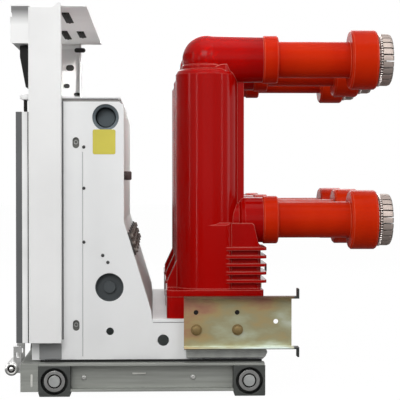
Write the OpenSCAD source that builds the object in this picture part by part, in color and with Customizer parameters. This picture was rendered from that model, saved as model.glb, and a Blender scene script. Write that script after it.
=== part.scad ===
/* [Front panel] */
// Overall width of the front panel
panel_w = 638; // [620:2:650]
// Rear face of the front plate, along the length
panel_x = -283; // [-290:1:-276]
// Lower edge of the front panel above the floor
panel_bottom_z = 87; // [80:1:95]
// Upper edge of the panel's side flanges above the floor
panel_top_z = 635; // [625:1:636]
// Depth of the side flanges behind the front plate
flange_depth = 50; // [40:1:60]
// Width of the inward lip on each side flange
flange_lip = 22; // [12:1:30]
// Sheet thickness of the panel, shelf and housing covers
sheet = 2.5; // [1.5:0.5:3]
// Underside of the top shelf above the floor
shelf_z = 636.5; // [634:0.5:640]
// How far the top shelf reaches behind the front plate
shelf_back = 92; // [70:1:110]
// Depth of the top hood in front of the front plate
hood_depth = 29; // [20:1:36]
// Lower edge of the top hood above the floor
hood_bottom_z = 576; // [560:1:590]
// Height of the recessed band at the top of the hood
hood_neck_h = 17.5; // [8:0.5:24]
// Depth of the pale layer of the front cover
cover_depth = 11; // [6:0.5:16]
// Depth of the dark frame on the front cover
frame_depth = 10; // [5:0.5:14]
// Upper edge of the front cover above the floor
cover_top_z = 465; // [440:1:480]
// Distance of the front cover's ends from the panel's ends
cover_inset = 4; // [2:1:20]
// Width of the rim round the window in the dark frame
window_rim = 24; // [16:1:60]
// Width of the wiring slots in the top shelf
slot_w = 14; // [10:1:18]
// Length of the wiring slots in the top shelf
slot_len = 150; // [120:2:156]
// Width of the low-voltage plug's housing
plug_w = 94; // [70:2:110]
// Height of the low-voltage plug's housing
plug_h = 68; // [60:1:80]
// Depth of the low-voltage plug's housing
plug_depth = 15.5; // [12:0.5:18]
// Height of the upright part of the plug's housing
plug_face_h = 18; // [12:1:24]
// Radius of the push buttons
button_r = 13; // [9:0.5:16]

/* [Housing] */
// Distance over the outer faces of the two side plates
housing_w = 588; // [570:2:600]
// Thickness of the side plates
side_t = 3; // [2:0.5:4]
// Underside of the housing above the floor
housing_bottom_z = 56; // [55:0.5:60]
// Top edge of the side plates above the floor
side_top_z = 483; // [460:1:500]
// Depth of the housing behind the front plate
housing_depth = 152; // [130:1:170]
// Height where the rear wall starts to slope out
slope_top_z = 284; // [260:1:310]
// Height where the slope ends
slope_foot_z = 137; // [128:1:150]
// Depth of the housing at the foot of the slope
foot_depth = 199; // [180:1:210]
// Top of the lower box, which the pole tray rests on
base_top_z = 118; // [110:1:124]
// Length of the lower box behind the front plate
base_len = 388; // [380:1:396]
// Thickness of the pole tray
tray_t = 5; // [3:0.5:6]
// Height of the shadow gap under the top cover
cover_gap = 5; // [3:0.5:8]
// Depth of the shadow gap under the top cover
cover_gap_depth = 14; // [8:1:24]
// Radius of the lifting holes
lift_r = 22; // [18:0.5:25]
// Centre of the lifting holes behind the front plate
lift_depth = 122; // [110:1:125]
// Centre of the lifting holes above the floor
lift_z = 457; // [440:1:458]
// Radius of the shaft windows in the side plates
shaft_window_r = 23.5; // [20:0.5:26]
// Centre of the main shaft behind the front plate
shaft_depth = 128; // [120:1:134]
// Centre of the main shaft above the floor
shaft_z = 176; // [165:1:190]
// Radius of the main shaft
shaft_r = 15; // [10:0.5:18]
// Width of the upright slots in the side plates
side_slot_w = 11; // [8:0.5:14]
// Height of the upright slots in the side plates
side_slot_h = 18; // [15:0.5:22]

/* [Poles] */
// Distance between neighbouring poles
phase_spacing = 210; // [205:1:212]
// Distance between the upper and lower contact arms
contact_spacing = 275; // [270:1:310]
// Height of the lower contact arms above the floor
lower_arm_z = 285; // [280:1:290]
// Pole axis along the length
pole_x = 9; // [6:1:12]
// Radius of the pole columns
column_r = 53; // [50:0.5:55]
// Radius of the neck above the shoulder
neck_r = 41.5; // [40:0.5:43]
// Height of the shoulder above the floor
shoulder_z = 542; // [538:1:545]
// Radius of the horizontal stubs of the poles
stub_r = 39; // [36:0.5:40]
// Length of the poles' stubs from the pole axis
stub_len = 96; // [92:1:100]
// Rear end of a pole's lower box behind the pole axis
box_back = 91; // [86:1:93]
// Distance of the outer poles' feet from the tray's side edges
foot_gap = 6; // [4:1:12]
// Distance between the feet of neighbouring poles
foot_spacing = 54; // [50:1:70]
// Height of a pole's foot
foot_h = 36; // [28:1:38]
// Thickness of the flange on a pole's foot
foot_flange_t = 11; // [7:0.5:13]
// Rounding of the lower box's upright edges
box_round = 12; // [8:1:14]
// Bevel round the top of the lower box
box_bevel = 4; // [2:0.5:6]
// How far the rib stands out of the back of a column
rib_reach = 11; // [6:1:16]
// How far the cooling fins stand out of the lower box
fin_reach = 9; // [6:0.5:10]
// Number of cooling fins at the back of each pole
fin_count = 5; // [3:1:5]
// Height from one fin to the next
fin_pitch = 13.7; // [11:0.1:13.8]
// Thickness of a fin
fin_t = 5; // [3:0.5:6]

/* [Contact arms] */
// Radius of the insulating sleeves
sleeve_r = 31; // [29:0.5:34]
// Radius of the collar where a sleeve meets its pole
root_collar_r = 41; // [40:0.5:42]
// Length of that collar
root_collar_len = 26; // [18:1:30]
// Length of the plain part of a sleeve
sleeve_len = 124; // [110:1:136]
// Radius of the collar round a contact
end_collar_r = 51; // [49:0.5:54]
// Length of the collar round a contact
end_collar_len = 45; // [36:1:54]
// Radius of the round conductor inside a sleeve
conductor_r = 24; // [20:0.5:26]
// Radius of the pin that the contact fingers grip
grip_r = 24.5; // [24:0.5:26]
// Outer radius of the finger cage
cage_r = 44.5; // [42:0.5:45.5]
// How far the fingers stand out of the collar
finger_reach = 26; // [18:1:34]
// Number of contact fingers round a contact
finger_count = 24; // [18:2:30]
// Gap between neighbouring fingers
finger_gap = 2.2; // [1.5:0.1:3]

/* [Guide brackets] */
// Distance from the foot of the housing's slope to the guide brackets
bracket_setback = 52; // [46:1:58]
// Thickness of the rails that carry the guide brackets
rail_t = 9; // [6:1:12]
// Length of a guide bracket's web
bracket_len = 178; // [160:1:200]
// Height of a guide bracket
bracket_h = 86; // [70:1:92]
// Lower edge of a guide bracket above the floor
bracket_z = 76; // [75:1:82]
// Sheet thickness of a guide bracket
bracket_t = 3; // [2:0.5:4]
// Length of the tabs at a bracket's rear end
bracket_tab = 16; // [10:1:22]

/* [Truck] */
// Distance over the outer faces of the truck's channels
truck_w = 650; // [644:1:660]
// Front end of the truck along the length
truck_x = -299; // [-304:1:-296]
// Height of the truck's channels
channel_h = 46; // [40:1:46]
// Underside of the channels above the floor
channel_z = 8; // [6:0.5:8]
// Thickness of the channels' webs and lips
channel_t = 4; // [3:0.5:4.5]
// Depth of the channels, which are open outwards
channel_depth = 24; // [18:1:28]
// Length of a wheel block
block_len = 52; // [50:1:56]
// Depth of a wheel block from the truck's outer face
block_depth = 34; // [30:1:40]
// Distance from the truck's front end to the front wheels
front_wheel_x = 55; // [52:1:60]
// Distance between the front and rear wheels
wheelbase = 319; // [310:1:321]
// Distance from the rear axles to the truck's rear end
rear_overhang = 25; // [23:1:27]
// Height of the wheel axles above the floor
axle_z = 24.6; // [24:0.2:26]
// Radius of the wheels
wheel_r = 17.3; // [15:0.1:17.5]
// Thickness of the wheels
wheel_t = 14; // [10:1:16]
// Radius of the axle studs
axle_r = 8; // [6:0.5:9]
// Gap round a wheel
wheel_gap = 5; // [5:0.1:5.5]

/* [Hidden] */
$fn = 64;

upper_arm_z = lower_arm_z + contact_spacing;
sleeve_x = pole_x + stub_len;
collar_x = sleeve_x + root_collar_len + sleeve_len;
collar_end_x = collar_x + end_collar_len;
tray_top_z = base_top_z + tray_t;
bracket_x = panel_x + foot_depth + bracket_setback;
panel_front_x = panel_x - sheet;
housing_back_x = panel_x + housing_depth;
foot_x = panel_x + foot_depth;
base_end_x = panel_x + base_len;
arm_ys = [-phase_spacing, 0, phase_spacing];
seat_gap = 0.3;
left = -1;
middle = 0;
right = 1;
plate_y = housing_w / 2 - side_t;
web_y = truck_w / 2 - channel_depth;
flange_y = panel_w / 2 - sheet;
ear_h = 8;
shelf_edge_h = 10;
// Each shelf slot's place behind the front plate, its left end and its length
shelf_slots = [[44, -235, slot_len], [23, 50, slot_len], [54, 58, slot_len - 38]];
plug_side_y = -206;
button_ys = [-70, 10];
button_z = 300;
button_h = 9;
panel_depth = cover_depth + 3;
corner_h = 14;
side_slot_depth = 73;
side_slot_x = panel_x + side_slot_depth;
side_slot_zs = [113, 415];
jack_hole = [panel_x + shaft_depth + 1, 103, 6.3];
foot_hole = [foot_x + 18, 88, 9.5];
shaft_disc_t = 14;
shaft_cup_depth = 10;
case_boss_r = 15;
case_boss_h = 16;
foot_top_z = tray_top_z + foot_h;
foot_half_w = min(housing_w / 2 - phase_spacing - foot_gap, (phase_spacing - foot_spacing) / 2);
fin_z = foot_top_z + foot_flange_t + 10;
box_x = pole_x + 41;
buttress_reach = 15;
buttress_t = 30;
buttress_h = 58;
saddle_r = 31;
saddle_half_h = 30;
cage_base_t = 6;
bracket_y = housing_w / 2 + rail_t;
bracket_flange = 21;
bracket_hole_r = 4;
bracket_end_gap = 11;
// Each bracket hole's distance from the bracket's front end and its height in the bracket
bracket_holes = [[20, 59], [88, 59], [152, 44]];
wheel_xs = [truck_x + front_wheel_x, truck_x + front_wheel_x + wheelbase];
block_end = front_wheel_x + block_len / 2 + seat_gap;
beam_end_x = truck_x + block_end - block_len - 2 * seat_gap;
block_top_z = channel_z + channel_h - channel_t - seat_gap;
wheel_pocket = 22;
shoe_h = 6;
case_gap = 36;
wall_fold = 15;
rail_h = 56;
head_t = 3;
grip_y = 240;
grip_len = 70;
lug_t = 6;
lug_h = 37;
lug_foot_h = 14;
lug_hole = [6, 8];
lug_hole_drop = 18;
beam_xs = [90, 230];
beam_len = 60;
rear_beam_len = 24;
racking_r = 9;
racking_z = 30;
racking_boss_r = 18;
racking_boss_len = 12;
cup_floor = 8;
cup_gap = 2.3;
cage_x = collar_x + cup_floor;
cage_len = collar_end_x + finger_reach - cage_x;
spring_inset = 21.5;
spring_xs = [spring_inset, cage_len - spring_inset];
pinch_len = 16;
finger_root_len = 22;
groove_d = 3;
spring_r = 1.9;
grip_x = truck_x - 16;
grip_z = 43.5;
grip_bar_r = 11;

// An upright plate: its outline is in length and height, and it spans two widths.
module upright(y_low, y_high) {
    translate([0, y_high, 0]) rotate([90, 0, 0]) linear_extrude(y_high - y_low) children();
}

// A plate of thickness t on one side of the middle, outwards from y_in.
module side_sheet(side, y_in, t) {
    if (side < 0) upright(-y_in - t, -y_in) children();
    else upright(y_in, y_in + t) children();
}

// A round rod along the width.
module cross_rod(x, z, y_low, y_high, r) {
    translate([x, y_high, z]) rotate([90, 0, 0]) cylinder(h = y_high - y_low, r = r);
}

// A rod along the width on one side, outwards from y_in.
module side_rod(x, z, side, y_in, length, r) {
    if (side < 0) cross_rod(x, z, -y_in - length, -y_in, r);
    else cross_rod(x, z, y_in, y_in + length, r);
}

// A bar along the length: its outline is in width and height, and it spans two lengths.
module lengthwise(x_low, x_high) {
    translate([x_low, 0, 0]) rotate([90, 0, 90]) linear_extrude(x_high - x_low) children();
}

// A turned shape along the length: the profile is [radius, distance] from x backwards.
module turned(x, y, z) {
    translate([x, y, z]) rotate([0, 90, 0]) rotate_extrude($fn = 72) children();
}

// A box from two corners.
module block(low, high) {
    translate(low) cube(high - low);
}

// ---- Front panel ----

module front_plate() {
    color("white")
    block([panel_front_x, -panel_w / 2, panel_bottom_z], [panel_x, panel_w / 2, panel_top_z]);
}

// A side flange with a raised ear at its top corner and a lip turned inwards.
module panel_flange(side) {
    back = panel_x + flange_depth;
    ear_x = back - 15;
    color("white") union() {
        side_sheet(side, flange_y, sheet) polygon([
            [panel_x, panel_bottom_z], [back, panel_bottom_z], [back, panel_top_z + ear_h],
            [ear_x + 12, panel_top_z + ear_h], [ear_x, panel_top_z], [panel_x, panel_top_z]
        ]);
        side_sheet(side, flange_y - flange_lip, flange_lip) translate([back - sheet, panel_bottom_z])
            square([sheet, shelf_z - panel_bottom_z - seat_gap]);
    }
}

// The shelf carries the low-voltage wiring, which passes through its slots. Its side edges are
// folded down behind the front plate.
module top_shelf() {
    half_w = flange_y - seat_gap;
    low = shelf_z - 1;
    high = shelf_z + sheet + 1;
    color("gainsboro") difference() {
        union() {
            block([panel_front_x - hood_depth, -half_w, shelf_z],
                [panel_x + shelf_back, half_w, shelf_z + sheet]);
            for (side = [left, right]) side_sheet(side, half_w - sheet, sheet)
                translate([panel_x, shelf_z - shelf_edge_h])
                    square([flange_depth - sheet - 2, shelf_edge_h + 1]);
        }
        for (slot = shelf_slots)
            block([panel_x + slot[0], slot[1], low], [panel_x + slot[0] + slot_w, slot[1] + slot[2], high]);
    }
}

module top_hood() {
    low = hood_bottom_z;
    neck_z = shelf_z - hood_neck_h;
    front = panel_front_x - hood_depth;
    color("gainsboro") upright(-panel_w / 2, panel_w / 2) polygon([
        [panel_front_x, low], [front + 3, low], [front, low + 3], [front, neck_z], [front + 3, neck_z],
        [front + 3, neck_z + 4], [front + 1.5, neck_z + 8], [front + 1.5, shelf_z], [panel_front_x, shelf_z]
    ]);
}

module front_cover() {
    half_w = panel_w / 2 - cover_inset;
    color("gainsboro")
    block([panel_front_x - cover_depth, -half_w, panel_bottom_z], [panel_front_x, half_w, cover_top_z]);
}

// The dark frame has a window for the operating panel.
module cover_frame() {
    half_w = panel_w / 2 - cover_inset;
    back = panel_front_x - cover_depth;
    color("dimgray") difference() {
        block([back - frame_depth, -half_w, panel_bottom_z], [back, half_w, cover_top_z]);
        block([back - frame_depth - 1, -half_w + window_rim, panel_bottom_z + window_rim],
            [panel_front_x - panel_depth, half_w - window_rim, cover_top_z - window_rim]);
    }
}

// The push buttons stand on the operating panel: one to close and one to open.
module push_buttons() {
    for (y = button_ys) color(y < 0 ? "green" : "red")
        translate([panel_front_x - panel_depth, y, button_z]) rotate([0, -90, 0])
            cylinder(h = button_h, r = button_r);
}

// The housing of the low-voltage plug, tapering downwards.
module plug_housing() {
    top = hood_bottom_z - 2;
    face_x = panel_front_x - plug_depth;
    color("black") upright(plug_side_y - plug_w, plug_side_y) polygon([
        [panel_front_x, top - plug_h], [panel_front_x - 6, top - plug_h], [face_x, top - plug_face_h],
        [face_x, top], [panel_front_x, top]
    ]);
}

// ---- Housing ----

module side_outline() {
    back = housing_back_x;
    polygon([
        [panel_x, housing_bottom_z], [base_end_x - 6, housing_bottom_z], [base_end_x, housing_bottom_z + 6],
        [base_end_x, base_top_z], [foot_x, base_top_z], [foot_x - 2, slope_foot_z], [back, slope_top_z],
        [back, side_top_z - corner_h], [back - 2, side_top_z - 5], [back - 7, side_top_z], [panel_x, side_top_z]
    ]);
}

module side_plate(side) {
    y_low = side < 0 ? -housing_w / 2 - 1 : plate_y - 1;
    y_high = y_low + side_t + 2;
    flat = side_slot_h - side_slot_w;
    half = side_slot_w / 2;
    color("whitesmoke") difference() {
        side_sheet(side, plate_y, side_t) side_outline();
        cross_rod(panel_x + lift_depth, lift_z, y_low, y_high, lift_r);
        cross_rod(panel_x + shaft_depth, shaft_z, y_low, y_high, shaft_window_r);
        for (hole = [jack_hole, foot_hole]) cross_rod(hole[0], hole[1], y_low, y_high, hole[2]);
        for (z = side_slot_zs) {
            for (end = [-0.5, 0.5]) cross_rod(side_slot_x, z + end * flat, y_low, y_high, half);
            block([side_slot_x - half, y_low, z - flat / 2], [side_slot_x + half, y_high, z + flat / 2]);
        }
    }
}

// The cover over the housing: a tray upside down, with a narrower rim below its plate.
module top_cover() {
    back = housing_back_x - 6;
    plate_z = side_top_z + cover_gap;
    rim_y = housing_w / 2 - cover_gap_depth;
    color("whitesmoke") union() {
        block([panel_x, -housing_w / 2, plate_z], [back, housing_w / 2, plate_z + sheet]);
        block([panel_x, -rim_y, side_top_z], [back - 6, rim_y, plate_z]);
    }
}

// The bent sheet behind the mechanism: its top is folded forward under the cover, and its foot
// slopes out to the pole tray.
module rear_wall() {
    back = housing_back_x;
    top = side_top_z;
    color("lightgray") upright(-plate_y, plate_y) polygon([
        [foot_x - 2, slope_foot_z], [back, slope_top_z], [back, top - corner_h], [back - 2, top - 5],
        [back - 7, top], [back - wall_fold, top], [back - wall_fold, top - sheet], [back - 8, top - sheet],
        [back - 4.3, top - 6], [back - sheet, top - corner_h], [back - sheet, slope_top_z],
        [foot_x - 2 - sheet, slope_foot_z], [foot_x - sheet, base_top_z], [foot_x, base_top_z]
    ]);
}

module base_pan() {
    color("lightgray")
    block([panel_x, -plate_y, housing_bottom_z], [base_end_x - 8, plate_y, housing_bottom_z + sheet]);
}

module pole_tray() {
    color("whitesmoke")
    block([foot_x, -plate_y - side_t, base_top_z], [base_end_x, plate_y + side_t, tray_top_z]);
}

// The spring drive's closed case, held between the front plate and the rear wall, with a round
// boss behind each lifting hole.
module mechanism_case() {
    half_w = plate_y - case_gap;
    back = housing_back_x - sheet;
    low = shaft_z + shaft_window_r + 12;
    notch_x = housing_back_x - wall_fold - 2;
    notch_z = side_top_z - corner_h - 2;
    color("silver") union() {
        upright(-half_w, half_w) polygon([
            [panel_x, low], [back, low], [back, notch_z], [notch_x, notch_z], [notch_x, side_top_z],
            [panel_x, side_top_z]
        ]);
        for (side = [left, right])
            side_rod(panel_x + lift_depth, lift_z, side, half_w - 1, case_boss_h + 1, case_boss_r);
    }
}

// The main shaft crosses the housing, and turns in a cupped bearing behind each window.
module main_shaft() {
    x = panel_x + shaft_depth;
    color("slategray") union() {
        cross_rod(x, shaft_z, -plate_y + shaft_cup_depth, plate_y - shaft_cup_depth, shaft_r);
        for (side = [left, right]) {
            difference() {
                side_rod(x, shaft_z, side, plate_y - shaft_disc_t, shaft_disc_t, shaft_window_r + 6);
                side_rod(x, shaft_z, side, plate_y - shaft_cup_depth, shaft_cup_depth + 1,
                    shaft_window_r - 1.5);
            }
            side_rod(x, shaft_z, side, plate_y - shaft_disc_t, shaft_disc_t - 5, shaft_r - 5);
        }
    }
}

// ---- Poles ----

// A slab with rounded upright edges, from its two ends, half its width and its two heights.
module rounded_slab(ends, y, half_w, heights) {
    r = box_round;
    length = ends[1] - ends[0];
    translate([ends[0], y - half_w, heights[0]]) linear_extrude(heights[1] - heights[0]) union() {
        translate([r, 0]) square([length - 2 * r, 2 * half_w]);
        translate([0, r]) square([length, 2 * (half_w - r)]);
        for (x = [r, length - r]) for (w = [r, 2 * half_w - r]) translate([x, w]) circle(r = r);
    }
}

// A cast-resin pole. The column stands on a flanged foot, and its domed neck turns into the
// upper stub. The lower box behind the column has cooling fins round three of its sides.
module pole(place) {
    y = place * phase_spacing;
    flange_top = foot_top_z + foot_flange_t;
    box_top = lower_arm_z - 4;
    front = pole_x - column_r;
    back = pole_x + box_back;
    core_w = column_r - fin_reach;
    color("firebrick") union() {
        translate([pole_x, y, 0]) rotate_extrude($fn = 72) polygon([
            [0, tray_top_z + 1], [column_r, tray_top_z + 1], [column_r, shoulder_z - 9],
            [column_r - 3, shoulder_z - 3], [column_r - 6, shoulder_z - 1], [neck_r + 1, shoulder_z], [neck_r + 1, shoulder_z + 6],
            [neck_r - 1, shoulder_z + 8], [neck_r - 1, upper_arm_z], [0, upper_arm_z]
        ]);
        translate([pole_x, y, upper_arm_z]) sphere(r = neck_r, $fn = 72);
        turned(pole_x, y, upper_arm_z)
            polygon([[0, 0], [neck_r - 1, 0], [stub_r, stub_len - 8], [stub_r, stub_len], [0, stub_len]]);
        turned(pole_x, y, lower_arm_z) polygon([
            [0, 0], [stub_r - 9, 0], [stub_r - 9, column_r + 2], [stub_r - 3, column_r + 6],
            [stub_r, column_r + 12], [stub_r, stub_len], [0, stub_len]
        ]);
        // Saddle under the upper stub
        intersection() {
            upright(y - neck_r + 1, y + neck_r - 1) translate([pole_x + 30, shoulder_z - 24]) circle(r = saddle_r);
            translate([pole_x, y, shoulder_z - saddle_half_h])
                cylinder(h = 2 * saddle_half_h, r = column_r - 2);
        }
        // Rib down the back of the column
        block([pole_x, y - 8, box_top - 10], [pole_x + column_r + rib_reach, y + 8, shoulder_z - 20]);
        // Lower box: full width up to box_x, then a narrower core, with a bevel round the top
        intersection() {
            union() {
                rounded_slab([pole_x - box_round, box_x], y, column_r, [foot_top_z, box_top]);
                rounded_slab([pole_x, back], y, core_w, [foot_top_z, box_top - 1]);
            }
            upright(y - column_r - 1, y + column_r + 1) polygon([
                [pole_x - box_round, foot_top_z], [back, foot_top_z],
                [back, fin_z + (fin_count - 0.5) * fin_pitch], [back - 5, box_top - 33],
                [back - 12, box_top - box_bevel], [back - 16, box_top], [pole_x - box_round, box_top]
            ]);
            lengthwise(pole_x - box_round, back) polygon([
                [y - column_r, foot_top_z], [y - column_r, box_top - box_bevel],
                [y - column_r + box_bevel, box_top], [y + column_r - box_bevel, box_top],
                [y + column_r, box_top - box_bevel], [y + column_r, foot_top_z]
            ]);
        }
        for (i = [0 : fin_count - 1]) {
            z = fin_z + i * fin_pitch;
            rounded_slab([pole_x + 20, back + fin_reach], y, column_r, [z, z + fin_t]);
        }
        // Buttress at the front
        upright(y - buttress_t / 2, y + buttress_t / 2) polygon([
            [pole_x, foot_top_z], [front - buttress_reach, foot_top_z],
            [front - buttress_reach, foot_top_z + 21], [front + 2, foot_top_z + buttress_h], [pole_x, foot_top_z + buttress_h]
        ]);
        // Foot and its flange
        rounded_slab([front - buttress_reach - 1.5, back + 2], y, foot_half_w, [foot_top_z, flange_top]);
        rounded_slab([front - buttress_reach - 1, back], y, foot_half_w - 1, [tray_top_z, foot_top_z]);
    }
}

// ---- Contact arms ----

// An insulating sleeve: collar at the pole, plain tube, and a cup round the contact.
module sleeve(place, z) {
    bore = conductor_r + seat_gap;
    cup = cage_r + cup_gap;
    root = root_collar_len;
    tube_end = root + sleeve_len;
    rim = tube_end + end_collar_len;
    color("orangered") turned(sleeve_x, place * phase_spacing, z) polygon([
        [bore, 0], [root_collar_r - 2, 0], [root_collar_r, 2], [root_collar_r, root - 2],
        [root_collar_r - 2, root], [sleeve_r, root], [sleeve_r, tube_end], [end_collar_r - 3, tube_end],
        [end_collar_r, tube_end + 3], [end_collar_r, rim - 3], [end_collar_r - 2, rim], [cup, rim],
        [cup, tube_end + cup_floor], [bore, tube_end + cup_floor]
    ]);
}

// A tulip contact: a cage of fingers on the end of its round conductor. The fingers pinch
// inwards near their tips, where the fixed pin enters, and flare at the mouth.
module contact(place, z) {
    y = place * phase_spacing;
    groove_r = cage_r - groove_d;
    root_r = grip_r + 6;
    color("tan") difference() {
        union() {
            turned(sleeve_x, y, z) square([conductor_r, cage_x - sleeve_x + 1]);
            turned(cage_x, y, z) polygon([
                [0, 0], [cage_r - 4, 0], [cage_r, 4], [cage_r, spring_xs[0] - 3], [groove_r, spring_xs[0] - 2],
                [groove_r, spring_xs[0] + 2], [cage_r, spring_xs[0] + 3], [cage_r, spring_xs[1] - 3],
                [groove_r, spring_xs[1] - 2], [groove_r, spring_xs[1] + 2], [cage_r, spring_xs[1] + 3],
                [cage_r, cage_len - 6], [cage_r - 1.5, cage_len - 2], [cage_r - 5, cage_len],
                [grip_r + 10, cage_len], [grip_r + 4, cage_len - 3], [grip_r, cage_len - 8],
                [grip_r, cage_len - pinch_len], [root_r, cage_len - finger_root_len], [root_r, cage_base_t + 2],
                [root_r - 2, cage_base_t], [0, cage_base_t]
            ]);
        }
        for (i = [0 : finger_count - 1])
            translate([cage_x, y, z]) rotate([(i + 0.5) * 360 / finger_count, 0, 0])
                block([cage_base_t + 3, -finger_gap / 2, grip_r - 4], [cage_len + 1, finger_gap / 2, cage_r + 2]);
    }
}

// The garter springs that press the fingers together, two on each contact.
module contact_springs() {
    ring_r = cage_r - groove_d + spring_r + 0.2;
    color("silver")
    for (y = arm_ys) for (z = [lower_arm_z, upper_arm_z]) for (x = spring_xs)
        turned(cage_x + x, y, z) translate([ring_r, 0]) circle(r = spring_r, $fn = 24);
}

// ---- Guide brackets ----

// The rails that stiffen the lower box and carry the guide brackets.
module bracket_rails() {
    low = base_top_z - 2 - rail_h;
    color("gray") for (side = [left, right]) side_sheet(side, housing_w / 2, rail_t) union() {
        translate([bracket_x + 4, low]) square([base_end_x - bracket_x - 8, base_top_z - 2 - low]);
        translate([base_end_x - 4, low + 9]) circle(r = 5);
    }
}

// A guide bracket: a channel whose flanges turn outwards and end in two tabs.
module guide_bracket(side) {
    top = bracket_z + bracket_h;
    reach = bracket_len + bracket_end_gap;
    color("darkkhaki") difference() {
        union() {
            side_sheet(side, bracket_y, bracket_t) translate([bracket_x, bracket_z]) square([bracket_len, bracket_h]);
            side_sheet(side, bracket_y, bracket_flange) translate([bracket_x, bracket_z]) union() {
                square([reach, bracket_t]);
                translate([0, bracket_h - bracket_t]) square([reach, bracket_t]);
                translate([reach - bracket_t, bracket_h - bracket_t]) square([bracket_t, bracket_tab]);
                translate([reach - bracket_t, bracket_t - bracket_tab]) square([bracket_t, bracket_tab]);
            }
        }
        for (hole = bracket_holes)
            cross_rod(bracket_x + hole[0], bracket_z + hole[1], -truck_w, truck_w, bracket_hole_r);
    }
}

// ---- Truck ----

// A channel open outwards: its top lip runs on over the wheel blocks.
module truck_channel(side) {
    start = truck_x + block_end;
    length = wheel_xs[1] - block_len / 2 - start - seat_gap;
    top = channel_z + channel_h - channel_t;
    color("gray") union() {
        side_sheet(side, web_y, channel_t) translate([start, channel_z]) square([length, channel_h]);
        side_sheet(side, web_y, channel_depth) translate([beam_end_x + seat_gap, top])
            square([wheel_xs[1] + rear_overhang - beam_end_x - seat_gap, channel_t]);
        side_sheet(side, web_y, channel_depth) translate([start, channel_z]) square([length, channel_t]);
    }
}

// The front crossbeam takes the pull grips and the racking boss, the rear one ties the blocks,
// and the two between them carry the housing.
module truck_crossbeams() {
    half_w = truck_w / 2;
    rear_x = wheel_xs[1] - rear_beam_len / 2;
    rear_half_w = half_w - block_depth - seat_gap;
    color("gray") {
        block([truck_x, -half_w, channel_z], [beam_end_x, half_w, channel_z + channel_h]);
        block([rear_x, -rear_half_w, channel_z], [rear_x + rear_beam_len, rear_half_w, housing_bottom_z]);
        for (reach = beam_xs) block([truck_x + reach, -web_y, channel_z + channel_h - 9],
            [truck_x + reach + beam_len, web_y, housing_bottom_z]);
    }
}

// A wheel block with its shoe and a round pocket for the wheel.
module wheel_block(x, side) {
    low = side < 0 ? -truck_w / 2 : truck_w / 2 - block_depth;
    mouth = side < 0 ? low - 1 : low + block_depth - wheel_pocket;
    half = block_len / 2;
    difference() {
        side_sheet(side, truck_w / 2 - block_depth, block_depth) polygon([
            [x - half, shoe_h], [x - half + 2, 0], [x + half - 1, 0], [x + half, 2],
            [x + half, block_top_z], [x - half, block_top_z]
        ]);
        cross_rod(x, axle_z, mouth, mouth + wheel_pocket + 1, wheel_r + wheel_gap);
    }
}

module wheel_blocks() {
    color("darkslategray") for (side = [left, right]) for (x = wheel_xs) wheel_block(x, side);
}

// A stud stands on the floor of each pocket, and its head keeps the wheel on.
module axle_studs() {
    floor_y = truck_w / 2 - wheel_pocket;
    color("silver") for (side = [left, right]) for (x = wheel_xs) union() {
        side_rod(x, axle_z, side, floor_y, wheel_pocket - head_t, axle_r);
        side_rod(x, axle_z, side, truck_w / 2 - head_t, head_t, axle_r + 1);
    }
}

// A wheel is a rolling bearing: an outer ring, a sunk seal and an inner ring on the stud.
module wheel(x, side) {
    y_in = truck_w / 2 - head_t - 0.5 - wheel_t;
    color("silver") difference() {
        side_rod(x, axle_z, side, y_in, wheel_t, wheel_r);
        side_rod(x, axle_z, side, y_in - 1, wheel_t + 2, axle_r + 0.05);
        for (y = [y_in - 1, y_in + wheel_t - 1.5]) difference() {
            side_rod(x, axle_z, side, y, 2.5, wheel_r - 5.5);
            side_rod(x, axle_z, side, y - 1, 4.5, axle_r + 1.5);
        }
    }
}

// The grips to pull the truck out by: a round bar between two lugs, which also carry the latches.
module pull_grips() {
    color("silver") for (side = [left, right]) union() {
        side_rod(grip_x, grip_z, side, grip_y, grip_len, grip_bar_r);
        for (y = [grip_y + 4, grip_y + grip_len - lug_t - 4]) side_sheet(side, y, lug_t) difference() {
            union() {
                translate([grip_x, grip_z - lug_foot_h / 2]) square([truck_x - grip_x, lug_foot_h]);
                translate([grip_x + 3, grip_z]) square([truck_x - grip_x - 3, lug_h]);
            }
            translate([truck_x - 9, grip_z + lug_h - lug_hole_drop]) square(lug_hole);
        }
    }
}

// The boss on the front crossbeam where the racking crank goes in.
module racking_boss() {
    color("dimgray") translate([truck_x - racking_boss_len, 0, racking_z]) rotate([0, 90, 0]) difference() {
        cylinder(h = racking_boss_len, r = racking_boss_r);
        translate([0, 0, -1]) cylinder(h = racking_boss_len + 2, r = racking_r);
    }
}

front_plate();
panel_flange(left);  // panel_flange_left
panel_flange(right);  // panel_flange_right
top_shelf();
top_hood();
front_cover();
cover_frame();
plug_housing();
push_buttons();
side_plate(left);  // side_plate_left
side_plate(right);  // side_plate_right
top_cover();
rear_wall();
base_pan();
pole_tray();
mechanism_case();
main_shaft();
pole(left);  // pole_left
pole(middle);  // pole_middle
pole(right);  // pole_right
sleeve(left, upper_arm_z);  // upper_sleeve_left
sleeve(middle, upper_arm_z);  // upper_sleeve_middle
sleeve(right, upper_arm_z);  // upper_sleeve_right
sleeve(left, lower_arm_z);  // lower_sleeve_left
sleeve(middle, lower_arm_z);  // lower_sleeve_middle
sleeve(right, lower_arm_z);  // lower_sleeve_right
contact(left, upper_arm_z);  // upper_contact_left
contact(middle, upper_arm_z);  // upper_contact_middle
contact(right, upper_arm_z);  // upper_contact_right
contact(left, lower_arm_z);  // lower_contact_left
contact(middle, lower_arm_z);  // lower_contact_middle
contact(right, lower_arm_z);  // lower_contact_right
contact_springs();
bracket_rails();
guide_bracket(left);  // guide_bracket_left
guide_bracket(right);  // guide_bracket_right
truck_channel(left);  // truck_channel_left
truck_channel(right);  // truck_channel_right
truck_crossbeams();
wheel_blocks();
axle_studs();
wheel(wheel_xs[0], left);  // wheel_front_left
wheel(wheel_xs[0], right);  // wheel_front_right
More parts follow.
